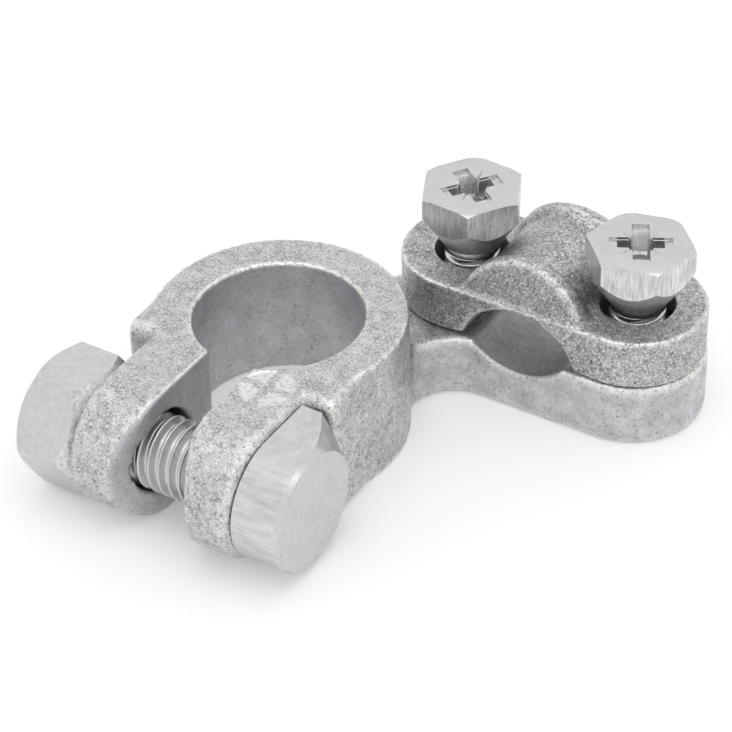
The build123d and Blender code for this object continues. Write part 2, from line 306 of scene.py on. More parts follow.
def boolean(obj, cutters, operation="DIFFERENCE"):
    """Cut or join several solids at once."""
    group = bpy.data.collections.new(obj.name + "_tools")
    for cutter in cutters:
        group.objects.link(cutter)
    modifier = obj.modifiers.new("Tools", "BOOLEAN")
    modifier.operation = operation
    modifier.operand_type = "COLLECTION"
    modifier.collection = group
    modifier.solver = "EXACT"
    modifier.material_mode = "TRANSFER"
    settle(obj)
    bm = bmesh.new()
    bm.from_mesh(obj.data)
    bmesh.ops.remove_doubles(bm, verts=bm.verts, dist=0.0001 * MM)
    bm.to_mesh(obj.data)
    bm.free()
    discard(*cutters)
    bpy.data.collections.remove(group)
    return obj


def loft(name, rings, material=None):
    """A closed solid through rings of points, each anticlockwise seen from the last end."""
    bm = bmesh.new()
    rows = [[bm.verts.new(point) for point in ring] for ring in rings]
    for low, high in zip(rows, rows[1:]):
        for k in range(len(low)):
            nxt = (k + 1) % len(low)
            bm.faces.new((low[k], low[nxt], high[nxt], high[k]))
    bm.faces.new(list(reversed(rows[0])))
    bm.faces.new(rows[-1])
    bmesh.ops.recalc_face_normals(bm, faces=bm.faces)
    mesh = bpy.data.meshes.new(name)
    bm.to_mesh(mesh)
    bm.free()
    if material:
        mesh.materials.append(material)
    return link(name, mesh)


# ---- node helpers -------------------------------------------------------
class Nodes:
    """Short hand for building a node tree."""

    def __init__(self, tree):
        self.tree = tree

    def add(self, kind, inputs=None, **values):
        node = self.tree.nodes.new(kind)
        for key, value in values.items():
            setattr(node, key, value)
        for key, value in (inputs or {}).items():
            socket = node.inputs[key]
            if isinstance(value, bpy.types.NodeSocket):
                self.tree.links.new(value, socket)
            else:
                socket.default_value = value
        return node

    def math(self, operation, *operands, clamp=False):
        return self.add(
            "ShaderNodeMath", dict(enumerate(operands)), operation=operation, use_clamp=clamp
        ).outputs[0]

    def remap(self, value, low, high, to_low=0.0, to_high=1.0):
        return self.add(
            "ShaderNodeMapRange",
            {"Value": value, "From Min": low, "From Max": high,
             "To Min": to_low, "To Max": to_high},
        ).outputs[0]

    def noise(self, vector, scale, detail=2.0, roughness=0.5, distortion=0.0):
        return self.add(
            "ShaderNodeTexNoise",
            {"Vector": vector, "Scale": scale, "Detail": detail,
             "Roughness": roughness, "Distortion": distortion},
        ).outputs[0]

    def mix(self, factor, a, b):
        node = self.add("ShaderNodeMix", {0: factor}, data_type="RGBA")
        for socket, value in ((node.inputs[6], a), (node.inputs[7], b)):
            if isinstance(value, bpy.types.NodeSocket):
                self.tree.links.new(value, socket)
            else:
                socket.default_value = value
        return node.outputs[2]


def rgba(colour, gain=1.0):
    return (*(min(1.0, channel * gain) for channel in colour), 1.0)


def new_material(name, metallic):
    """A material with its surface shader, and the place on the piece in millimetres."""
    material = bpy.data.materials.new(name)
    material.use_nodes = True
    nodes = Nodes(material.node_tree)
    shader = material.node_tree.nodes["Principled BSDF"]
    shader.inputs["Metallic"].default_value = metallic
    place = nodes.add("ShaderNodeTexCoord").outputs["Object"]
    place_mm = nodes.add(
        "ShaderNodeVectorMath", {0: place, "Scale": 1 / MM}, operation="SCALE").outputs[0]
    return material, nodes, shader, place_mm


def stretched(nodes, place, factors):
    """The pattern's place, squeezed along the axes."""
    return nodes.add(
        "ShaderNodeMapping", {"Vector": place, "Scale": factors}).outputs[0]


def connect(nodes, shader, **sockets):
    for name, value in sockets.items():
        nodes.tree.links.new(value, shader.inputs[name.replace("_", " ")])


# ---- finishes -----------------------------------------------------------
def worn_edges_and_highlight(nodes, breaks):
    """Bright where the piece is most rounded, broken up by a noise: edge wear and a painted
    highlight.
    """
    pointed = nodes.add("ShaderNodeNewGeometry").outputs["Pointiness"]
    return nodes.math(
        "MULTIPLY", nodes.remap(pointed, 0.505, 0.530),
        nodes.remap(breaks, 0.42, 0.54, 0.3, 1.0))


def cast_finish(name, settings, tone, speckle_and_glint=1.0):
    """Tumbled cast metal: cloudy, with dark pits of dirt, bright specks that are partly grain
    and partly painted glints, painted shade in the concave corners, and edges lighter from
    wear and a painted highlight.
    """
    material, nodes, shader, place = new_material(name, metallic=0.95)
    cloud = nodes.noise(place, 0.42, detail=3.0, roughness=0.6)
    mottle = nodes.noise(place, 1.3, detail=6.0, roughness=0.75)
    grain = nodes.noise(place, 4.0, detail=3.0, roughness=0.8)
    clouds = nodes.math(
        "ADD", nodes.math("MULTIPLY", cloud, 0.4), nodes.math("MULTIPLY", mottle, 0.6))
    patch = nodes.remap(mottle, 0.56, 0.42, 0.25, 1.0)
    pit = nodes.math("MULTIPLY", nodes.remap(grain, 0.46, 0.37), patch)
    pointed = nodes.add("ShaderNodeNewGeometry").outputs["Pointiness"]
    # painted shade: darker where the surface is concave
    painted_corner_shade = nodes.remap(pointed, 0.488, 0.455)
    # rounded edges painted bright: part wear, part painted highlight
    edge_wear_and_highlight = worn_edges_and_highlight(nodes, mottle)
    base = nodes.mix(
        nodes.remap(clouds, 0.38, 0.62),
        rgba(settings.colour, 0.68 * tone), rgba(settings.colour, 1.18 * tone))
    # bright specks: grain of the metal and painted glints
    base = nodes.mix(nodes.math(
        "MULTIPLY", nodes.remap(grain, 0.53, 0.62), speckle_and_glint * 0.75), base,
        rgba(settings.wear_and_highlight_colour))
    # edges painted bright: part wear, part painted highlight
    base = nodes.mix(nodes.math("MULTIPLY", edge_wear_and_highlight, 0.85), base, rgba(settings.wear_and_highlight_colour))
    base = nodes.mix(
        nodes.math("MULTIPLY", pit, speckle_and_glint * 0.85), base, rgba(settings.dirt_and_shade_colour))
    # painted shade in the concave corners
    base = nodes.mix(nodes.math("MULTIPLY", painted_corner_shade, 0.6), base, rgba(settings.dirt_and_shade_colour))
    rough = nodes.remap(clouds, 0.38, 0.62, 0.44, 0.30)
    rough = nodes.math("SUBTRACT", rough, nodes.math("MULTIPLY", edge_wear_and_highlight, 0.1))
    rough = nodes.math("ADD", rough, nodes.math("MULTIPLY", pit, 0.2), clamp=True)
    height = nodes.math("ADD", mottle, nodes.math("MULTIPLY", grain, 0.5 * speckle_and_glint))
    relief = nodes.add("ShaderNodeBump", {"Height": height, "Distance": CAST_RELIEF})
    connect(nodes, shader, Base_Color=base, Roughness=rough, Normal=relief.outputs[0])
    return material


def cored_finish(name, settings, tone, contrast=0.14, wear_and_highlight=0.0):
    """Smoother, evenly grey metal where a core or a cutter left the surface."""
    material, nodes, shader, place = new_material(name, metallic=0.95)
    cloud = nodes.noise(place, 0.5, detail=3.0)
    grain = nodes.noise(place, 2.6, detail=4.0, roughness=0.65, distortion=0.6)
    clouds = nodes.math(
        "ADD", nodes.math("MULTIPLY", cloud, 0.55), nodes.math("MULTIPLY", grain, 0.45))
    base = nodes.mix(
        nodes.remap(clouds, 0.36, 0.64),
        rgba(settings.colour, tone * (1 - contrast)),
        rgba(settings.colour, tone * (1 + contrast)))
    base = nodes.mix(
        nodes.math("MULTIPLY", nodes.remap(grain, 0.42, 0.32), contrast * 2.5), base,
        rgba(settings.dirt_and_shade_colour))
    # rounded edges painted bright: part wear, part painted highlight
    base = nodes.mix(
        nodes.math("MULTIPLY", worn_edges_and_highlight(nodes, grain), wear_and_highlight), base,
        rgba(settings.wear_and_highlight_colour))
    rough = nodes.remap(grain, 0.3, 0.7, 0.52, 0.44)
    relief = nodes.add("ShaderNodeBump", {"Height": grain, "Distance": CORED_RELIEF})
    connect(nodes, shader, Base_Color=base, Roughness=rough, Normal=relief.outputs[0])
    return material


def quadrant_finish(settings):
    """Flat bright floors of the plus mark's quadrants."""
    material, nodes, shader, place = new_material("Plus_mark_floor", metallic=0.85)
    speck = nodes.noise(place, 2.4, detail=3.0, roughness=0.6)
    base = nodes.mix(
        nodes.remap(speck, 0.34, 0.50),
        rgba(settings.colour, 0.95), rgba(settings.colour, 1.4))
    rough = nodes.remap(speck, 0.3, 0.7, 0.32, 0.42)
    relief = nodes.add("ShaderNodeBump", {"Height": speck, "Distance": 0.02 * MM})
    connect(nodes, shader, Base_Color=base, Roughness=rough, Normal=relief.outputs[0])
    return material


def zinc_finish(name, settings, roughness, contrast=0.08, streak=None, depth=0.02):
    """Bright zinc. The streaks run along the axis that is squeezed the most."""
    material, nodes, shader, place = new_material(name, metallic=1.0)
    smear = nodes.noise(place, 0.45, detail=3.0, roughness=0.6)
    fine = nodes.noise(place, 4.0, detail=3.0, roughness=0.6)
    line = nodes.noise(
        stretched(nodes, place, streak or (1.6, 1.6, 1.6)), 1.0, detail=4.0, roughness=0.7)
    tone = nodes.math(
        "ADD", nodes.math("MULTIPLY", line, 0.7), nodes.math("MULTIPLY", smear, 0.3))
    base = nodes.mix(
        nodes.remap(tone, 0.36, 0.62), rgba(settings.colour, 1 - contrast),
        rgba(settings.colour, 1 + contrast))
    speck = nodes.remap(fine, 0.34, 0.27)
    base = nodes.mix(nodes.math("MULTIPLY", speck, 0.45), base, rgba((0.2, 0.21, 0.21)))
    rough = nodes.remap(tone, 0.3, 0.7, roughness + 0.06, roughness - 0.05)
    height = nodes.math("ADD", line, nodes.math("MULTIPLY", fine, 0.3))
    relief = nodes.add("ShaderNodeBump", {"Height": height, "Distance": depth * MM})
    connect(nodes, shader, Base_Color=base, Roughness=rough, Normal=relief.outputs[0])
    return material


# ---- geometry node trees ------------------------------------------------
def tree_input(tree, name, kind, default=None):
    socket = tree.interface.new_socket(name=name, in_out="INPUT", socket_type=kind)
    if default is not None:
        socket.default_value = default
    return socket


def tree_output(tree):
    tree.interface.new_socket(
        name="Geometry", in_out="OUTPUT", socket_type="NodeSocketGeometry")


def set_inputs(modifier, values):
    """Set a modifier's inputs by the identifiers of the tree's sockets."""
    for item in modifier.node_group.interface.items_tree:
        if item.in_out == "INPUT" and item.name in values:
            modifier[item.identifier] = values[item.name]


def thread_tree():
    """A right-hand thread along +Z from its tip at the origin, as one closed skin."""
    tree = bpy.data.node_groups.new("Rolled thread", "GeometryNodeTree")
    tree_input(tree, "Crest radius", "NodeSocketFloat", 4.0 * MM)
    tree_input(tree, "Pitch", "NodeSocketFloat", 1.25 * MM)
    tree_input(tree, "Depth", "NodeSocketFloat", 0.75 * MM)
    tree_input(tree, "Length", "NodeSocketFloat", 20.0 * MM)
    tree_input(tree, "Tip chamfer", "NodeSocketFloat", 0.8 * MM)
    tree_input(tree, "Rows", "NodeSocketInt", 200)
    tree_input(tree, "Sides", "NodeSocketInt", 56)
    tree_input(tree, "Tip", "NodeSocketVector")
    tree_input(tree, "Turn", "NodeSocketRotation")
    tree_input(tree, "Finish", "NodeSocketMaterial")
    tree_output(tree)
    n = Nodes(tree)
    group = n.add("NodeGroupInput").outputs
    grid = n.add("GeometryNodeMeshGrid", {
        "Size X": 1.0, "Size Y": 1.0,
        "Vertices X": n.math("ADD", group["Sides"], 1.0),
        "Vertices Y": n.math("ADD", group["Rows"], 3.0)})
    spot = n.add("ShaderNodeSeparateXYZ", {0: n.add("GeometryNodeInputPosition").outputs[0]})
    around = n.math("ADD", spot.outputs[0], 0.5)
    # the first and the last row close the ends, so they sit on their neighbours' level
    row = n.math("SUBTRACT", n.math(
        "MULTIPLY", n.math("ADD", spot.outputs[1], 0.5),
        n.math("ADD", group["Rows"], 2.0)), 1.0)
    share = n.math("DIVIDE", row, group["Rows"], clamp=True)
    level = n.math("MULTIPLY", share, group["Length"])
    phase = n.math("FRACT", n.math(
        "ADD", n.math("SUBTRACT", n.math("DIVIDE", level, group["Pitch"]), around), 1.0))
    flank = n.math("MULTIPLY", n.math("ABSOLUTE", n.math("SUBTRACT", phase, 0.5)), 2.0)
    drop = n.math("MULTIPLY", n.remap(flank, 0.125, 0.75), group["Depth"])
    radius = n.math("SUBTRACT", group["Crest radius"], drop)
    tip = n.math("ADD", n.math(
        "SUBTRACT", group["Crest radius"], group["Tip chamfer"]), level)
    radius = n.math("MINIMUM", radius, tip)
    inside = n.math("MULTIPLY", n.math("GREATER_THAN", row, -0.5), n.math(
        "LESS_THAN", row, n.math("ADD", group["Rows"], 0.5)))
    radius = n.math("MULTIPLY", radius, inside)
    angle = n.math("MULTIPLY", around, math.tau)
    place = n.add("ShaderNodeCombineXYZ", {
        0: n.math("MULTIPLY", radius, n.math("COSINE", angle)),
        1: n.math("MULTIPLY", radius, n.math("SINE", angle)),
        2: level})
    skin = n.add("GeometryNodeSetPosition", {
        "Geometry": grid.outputs["Mesh"], "Position": place.outputs[0]})
    joined = n.add("GeometryNodeMergeByDistance", {
        "Geometry": skin.outputs[0], "Distance": 0.001 * MM})
    smooth = n.add("GeometryNodeSetShadeSmooth", {
        "Geometry": joined.outputs[0], "Shade Smooth": True})
    placed = n.add("GeometryNodeTransform", {
        "Geometry": smooth.outputs[0], "Translation": group["Tip"], "Rotation": group["Turn"]})
    real = n.add("GeometryNodeRealizeInstances", {"Geometry": placed.outputs[0]})
    finish = n.add("GeometryNodeSetMaterial", {
        "Geometry": real.outputs[0], "Material": group["Finish"]})
    n.add("NodeGroupOutput", {0: finish.outputs[0]})
    return tree


def uneven_tree():
    """Pushes a skin inwards by broad hollows and small dents, never outwards."""
    tree = bpy.data.node_groups.new("Uneven cast skin", "GeometryNodeTree")
    tree_input(tree, "Geometry", "NodeSocketGeometry")
    tree_input(tree, "Depth", "NodeSocketFloat", 0.07 * MM)
    tree_input(tree, "Size", "NodeSocketFloat", 2.6 * MM)
    tree_input(tree, "Seed", "NodeSocketFloat", 0.0)
    tree_input(tree, "Finish", "NodeSocketMaterial")
    tree_output(tree)
    n = Nodes(tree)
    group = n.add("NodeGroupInput").outputs
    scale = n.math("DIVIDE", 1.0, group["Size"])
    waves = []
    for factor, share in ((1.0, 0.62), (3.6, 0.38)):
        wave = n.add(
            "ShaderNodeTexNoise",
            {"W": group["Seed"], "Scale": n.math("MULTIPLY", scale, factor), "Detail": 2.0},
            noise_dimensions="4D").outputs[0]
        waves.append(n.math("MULTIPLY", n.remap(wave, 0.3, 0.7), share))
    push = n.math(
        "MULTIPLY", n.math("ADD", waves[0], waves[1]),
        n.math("MULTIPLY", group["Depth"], -1.0))
    normal = n.add("GeometryNodeInputNormal").outputs[0]
    shift = n.add("ShaderNodeVectorMath", {0: normal, "Scale": push}, operation="SCALE")
    moved = n.add("GeometryNodeSetPosition", {
        "Geometry": group["Geometry"], "Offset": shift.outputs[0]})
    smooth = n.add("GeometryNodeSetShadeSmooth", {
        "Geometry": moved.outputs[0], "Shade Smooth": True})
    real = n.add("GeometryNodeRealizeInstances", {"Geometry": smooth.outputs[0]})
    finish = n.add("GeometryNodeSetMaterial", {
        "Geometry": real.outputs[0], "Material": group["Finish"]})
    n.add("NodeGroupOutput", {0: finish.outputs[0]})
    return tree


def with_tree(obj, tree, **values):
    modifier = obj.modifiers.new(tree.name, "NODES")
    modifier.node_group = tree
    set_inputs(modifier, {key.replace("_", " "): value for key, value in values.items()})
    return settle(obj)


def threaded_shank(name, settings, radius, pitch, length, chamfer, tip, turn, finish):
    """A threaded rod, its tip at the given place."""
    tree = bpy.data.node_groups.get("Rolled thread") or thread_tree()
    return with_tree(
        link(name, bpy.data.meshes.new(name)), tree,
        Crest_radius=radius, Pitch=pitch, Depth=pitch * 0.6, Length=length,
        Tip_chamfer=chamfer, Rows=round(length / pitch * settings.rows), Sides=settings.sides,
        Tip=tip, Turn=turn, Finish=finish)


def cast_skin(node, name, grid, settings, seed, flows, finish):
    """A cast piece over its solid: an even fine skin, soft edges and shallow unevenness."""
    obj = node_copy(node, name)
    remesh = obj.modifiers.new("Skin", "REMESH")
    remesh.mode = "VOXEL"
    remesh.voxel_size = grid
    soft = obj.modifiers.new("Soft edges", "SMOOTH")
    soft.factor = 0.5
    soft.iterations = settings.softening
    settle(obj)
    group = obj.vertex_groups.new(name="Flow")
    for vertex in obj.data.vertices:
        share = flows(*vertex.co)
        if share > 0:
            group.add((vertex.index,), share, "REPLACE")
    flow = obj.modifiers.new("Flow", "SMOOTH")
    flow.factor = 0.5
    flow.iterations = settings.flow
    flow.vertex_group = group.name
    settle(obj)
    obj.vertex_groups.clear()
    tree = bpy.data.node_groups.get("Uneven cast skin") or uneven_tree()
    return with_tree(
        obj, tree, Depth=settings.dent_depth, Size=settings.dent_size, Seed=seed,
        Finish=finish)


def fade(distance, full, none):
    """1 up to the full distance, falling to 0 at the other."""
    return min(1.0, max(0.0, (none - distance) / (none - full)))


def keep_side(obj, point, normal):
    """Keep the side of a plane that its normal points to, and close the cut."""
    bm = bmesh.new()
    bm.from_mesh(obj.data)
    bmesh.ops.bisect_plane(
        bm, geom=[*bm.verts, *bm.edges, *bm.faces], plane_co=point, plane_no=normal,
        clear_inner=True, dist=1e-8)
    bmesh.ops.holes_fill(bm, edges=[edge for edge in bm.edges if edge.is_boundary])
    bmesh.ops.recalc_face_normals(bm, faces=bm.faces)
    bm.to_mesh(obj.data)
    bm.free()
    return obj


def paint_faces(obj, materials, choose):
    """Give each face the material that choose(normal, centre) names by its index."""
    obj.data.materials.clear()
    for material in materials:
        obj.data.materials.append(material)
    for face in obj.data.polygons:
        face.material_index = choose(face.normal, face.center)


def smooth_faces(obj):
    for face in obj.data.polygons:
        face.use_smooth = True


def sunk_plus(body, settings, floor):
    """Sink the four quadrants round the plus into the top of the jaw."""
    def inset(place):
        x, y = abs(place.x - PLUS_CENTRE.x), abs(place.y - PLUS_CENTRE.y)
        return min(
            x - settings.bar / 2, y - settings.bar / 2, settings.radius - math.hypot(x, y))

    def on_top(place):
        return (place - PLUS_CENTRE).length < settings.radius + 0.35 * MM

    bm = bmesh.new()
    bm.from_mesh(body.data)
    bmesh.ops.subdivide_edges(
        bm, edges=[edge for edge in bm.edges if all(on_top(v.co) for v in edge.verts)],
        cuts=3, use_grid_fill=True)
    for vertex in bm.verts:
        if on_top(vertex.co):
            share = 1 - fade(inset(vertex.co), 0.0, 0.16 * MM)
            level = PLUS_CENTRE.z - settings.depth - 0.05 * MM
            vertex.co.z += (level - vertex.co.z) * share
    index = len(body.data.materials)
    for face in bm.faces:
        middle = face.calc_center_median()
        if on_top(middle) and inset(middle) > 0.04 * MM:
            face.material_index = index
    bm.to_mesh(body.data)
    bm.free()
    body.data.materials.append(floor)


# ---- pieces -------------------------------------------------------------
class CLAMP_OT_cast_body(bpy.types.Operator):
    """Ring, jaws and base plate as one casting, with the plus mark sunk into a jaw"""

    bl_idname = "clamp.cast_body"
    bl_label = "Cast body"

    @staticmethod
    def flows(x, y, z):
        """Roundest at the mouth of the slot, the shoulders and the roots of the arm."""
        rim = math.hypot(y - BOLT_AXIS_Y, z - BOLT_AXIS_Z)
        mouth = fade(JAW_END_RADIUS - rim, 1.2 * MM, 2.4 * MM) * fade(
            abs(x), 6.0 * MM, 7.4 * MM) * fade(y, -18.6 * MM, -17.6 * MM)
        shoulder = fade(abs(abs(x) - 11.4 * MM), 1.8 * MM, 2.6 * MM) * fade(
            abs(y + 9.5 * MM), 1.6 * MM, 3.0 * MM) * fade(RING_TOP_Z - z, 1.5 * MM, 4.0 * MM)
        root = fade(abs(math.hypot(x, y) - 13.35 * MM), 0.9 * MM, 2.0 * MM) * fade(
            z, 8.0 * MM, 9.5 * MM) * fade(-y, -5.5 * MM, -3.5 * MM)
        return max(mouth, 0.8 * shoulder, 0.8 * root)

    @staticmethod
    def surface(normal, centre):
        """0 as cast, 1 bore, 2 slot, 3 trough, 4 wall of the arm and base, 5 bolt hole."""
        x, y, z = centre
        from_bolt = math.hypot(y - BOLT_AXIS_Y, z - BOLT_AXIS_Z)
        from_post = math.hypot(x, y)
        from_trough = math.hypot(x - SADDLE_X, z - TROUGH_AXIS_Z)
        if from_bolt < BOLT_HOLE_REACH and abs(x) < JAW_SIDE_X and abs(normal.x) < 0.6:
            return 5
        if from_post < BORE_REACH and BORE_FOOT_Z < z < RING_TOP_Z - BORE_LIP:
            return 1 if abs(x) > SLOT_HALF_WIDTH or y > 0 else 2
        if abs(x) < SLOT_MOUTH_X and y < SLOT_START_Y and abs(normal.x) > 0.4:
            return 2
        if y > TROUGH_START_Y and from_trough < TROUGH_REACH:
            return 3
        beside_ring = y > BASE_WALL_START_Y and from_post > BASE_WALL_REACH
        if beside_ring and z < BASE_TOP_Z and abs(normal.z) < 0.75:
            return 4
        return 0

    def execute(self, context):
        settings = context.scene.clamp_casting
        finish = cast_finish("Cast_body", settings, BODY_TONE)
        body = cast_skin(
            "clamp_body", "casting_body", settings.body_grid, settings, 0.0, self.flows,
            finish)
        paint_faces(body, (
            finish,
            cored_finish("Bore", settings, BODY_TONE),
            cored_finish("Slot", settings, BODY_TONE),
            cored_finish("Trough", settings, BODY_TONE),
            # the base wall's rounded top edge painted bright: part wear, part painted
            # highlight
            cored_finish("Base_wall", settings, BODY_TONE, contrast=0.22, wear_and_highlight=0.8),
            cored_finish("Bolt_hole", settings, BODY_TONE)), self.surface)
        sunk_plus(body, context.scene.clamp_plus, quadrant_finish(settings))
        smooth_faces(body)
        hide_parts("clamp_body")
        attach(body, "clamp")
        return {"FINISHED"}


class CLAMP_OT_saddle(bpy.types.Operator):
    """Arched saddle that grips the cable"""

    bl_idname = "clamp.saddle"
    bl_label = "Saddle"

    @staticmethod
    def flows(x, y, z):
        """Roundest where the arch meets the pads and at the mouths of the tunnel."""
        aside, along = abs(x - SADDLE_X), abs(y - SADDLE_Y)
        root = fade(math.hypot(aside - 7.1 * MM, z - SADDLE_TOP_Z), 1.0 * MM, 2.0 * MM) * fade(
            along, 7.0 * MM, 7.4 * MM)
        bore = math.hypot(aside, z - TUNNEL_AXIS_Z)
        mouth = fade(7.4 * MM - along, 1.2 * MM, 2.0 * MM) * fade(
            abs(bore - 6.9 * MM), 1.0 * MM, 2.0 * MM) * fade(z, 10.4 * MM, 11.6 * MM)
        return max(root, mouth)

    @staticmethod
    def surface(normal, centre):
        """0 as cast, 1 tunnel, 2 screw hole."""
        x, y, z = centre
        if math.hypot(x - SADDLE_X, z - TUNNEL_AXIS_Z) < TUNNEL_REACH:
            return 1
        for screw_x, _, _ in SCREWS.values():
            from_screw = math.hypot(x - screw_x, y - SADDLE_Y)
            if from_screw < SCREW_HOLE_REACH and z < SCREW_HOLE_TOP_Z:
                return 2
        return 0

    def execute(self, context):
        settings = context.scene.clamp_casting
        finish = cast_finish("Cast_saddle", settings, SADDLE_TONE, speckle_and_glint=1.2)
        saddle = cast_skin(
            "saddle", "casting_saddle", settings.saddle_grid, settings, 7.0, self.flows,
            finish)
        paint_faces(saddle, (
            finish,
            cored_finish("Tunnel", settings, SADDLE_TONE),
            cored_finish("Screw_hole", settings, SADDLE_TONE)), self.surface)
        smooth_faces(saddle)
        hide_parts("saddle")
        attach(saddle, "saddle")
        return {"FINISHED"}


class CLAMP_OT_bolt(bpy.types.Operator):
    """Clamp bolt with its square-cornered round head and rolled thread"""

    bl_idname = "clamp.bolt"
    bl_label = "Clamp bolt"

    @staticmethod
    def surface(normal, centre):
        """0 front, 1 round side, 2 flats, 3 turned chamfer."""
        if normal.x > 0.25:
            return 0 if normal.x > 0.9 else 3
        return 2 if normal.z > 0.95 or normal.y > 0.95 else 1

    def execute(self, context):
        plating = context.scene.clamp_plating
        thread = context.scene.clamp_thread
        side = plating.side_roughness
        finishes = (
            zinc_finish("Bolt_face", plating, plating.face_roughness, depth=0.03),
            zinc_finish("Bolt_side", plating, side - 0.03, contrast=0.15,
                        streak=(0.3, 2.2, 2.2), depth=0.05),
            zinc_finish("Bolt_flat", plating, plating.face_roughness - 0.06,
                        contrast=0.12, streak=(1.4, 0.5, 1.4)),
            zinc_finish("Bolt_chamfer", plating, 0.3),
        )
        rolled = zinc_finish("Bolt_thread", plating, side + 0.1)
        head = node_copy("clamp_bolt", "bolt_head")
        keep_side(head, (HEAD_SEAT_X - 0.02 * MM, 0, 0), (1, 0, 0))
        soften_edges(head, plating.edge_round)
        paint_faces(head, finishes, self.surface)
        shank = threaded_shank(
            "bolt_shank", thread, thread.bolt_radius, thread.bolt_pitch,
            HEAD_SEAT_X - BOLT_TIP_X + 0.4 * MM, 0.8 * MM,
            (BOLT_TIP_X, BOLT_AXIS_Y, BOLT_AXIS_Z), (0, math.pi / 2, 0), rolled)
        bolt = boolean(head, [shank], "UNION")
        bolt.name = "bolt"
        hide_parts("clamp_bolt")
        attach(bolt, "bolt")
        return {"FINISHED"}


class CLAMP_OT_nut(bpy.types.Operator):
    """Hexagon nut on the bolt"""

    bl_idname = "clamp.nut"
    bl_label = "Nut"

    def execute(self, context):
        plating = context.scene.clamp_plating
        thread = context.scene.clamp_thread
        face = zinc_finish("Nut_flats", plating, plating.face_roughness)
        end = zinc_finish(
            "Nut_ends", plating, plating.side_roughness + 0.05, contrast=0.3,
            streak=(2.0, 2.0, 2.0), depth=0.05)
        rolled = zinc_finish("Nut_thread", plating, plating.side_roughness + 0.1)
        nut = node_copy("clamp_nut", "nut")
        first = min(vertex.co.x for vertex in nut.data.vertices)
        last = max(vertex.co.x for vertex in nut.data.vertices)
        soften_edges(nut, plating.edge_round)
        paint_faces(nut, (face, end), lambda normal, centre: 0 if abs(normal.x) < 0.1 else 1)
        boolean(nut, [threaded_shank(
            "nut_tap", thread, thread.bolt_radius + 0.45 * MM, thread.bolt_pitch,
            last - first + 2.0 * MM, 0.0, (first - 1.0 * MM, BOLT_AXIS_Y, BOLT_AXIS_Z),
            (0, math.pi / 2, 0), rolled)])
        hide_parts("clamp_nut")
        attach(nut, "nut")
        return {"FINISHED"}


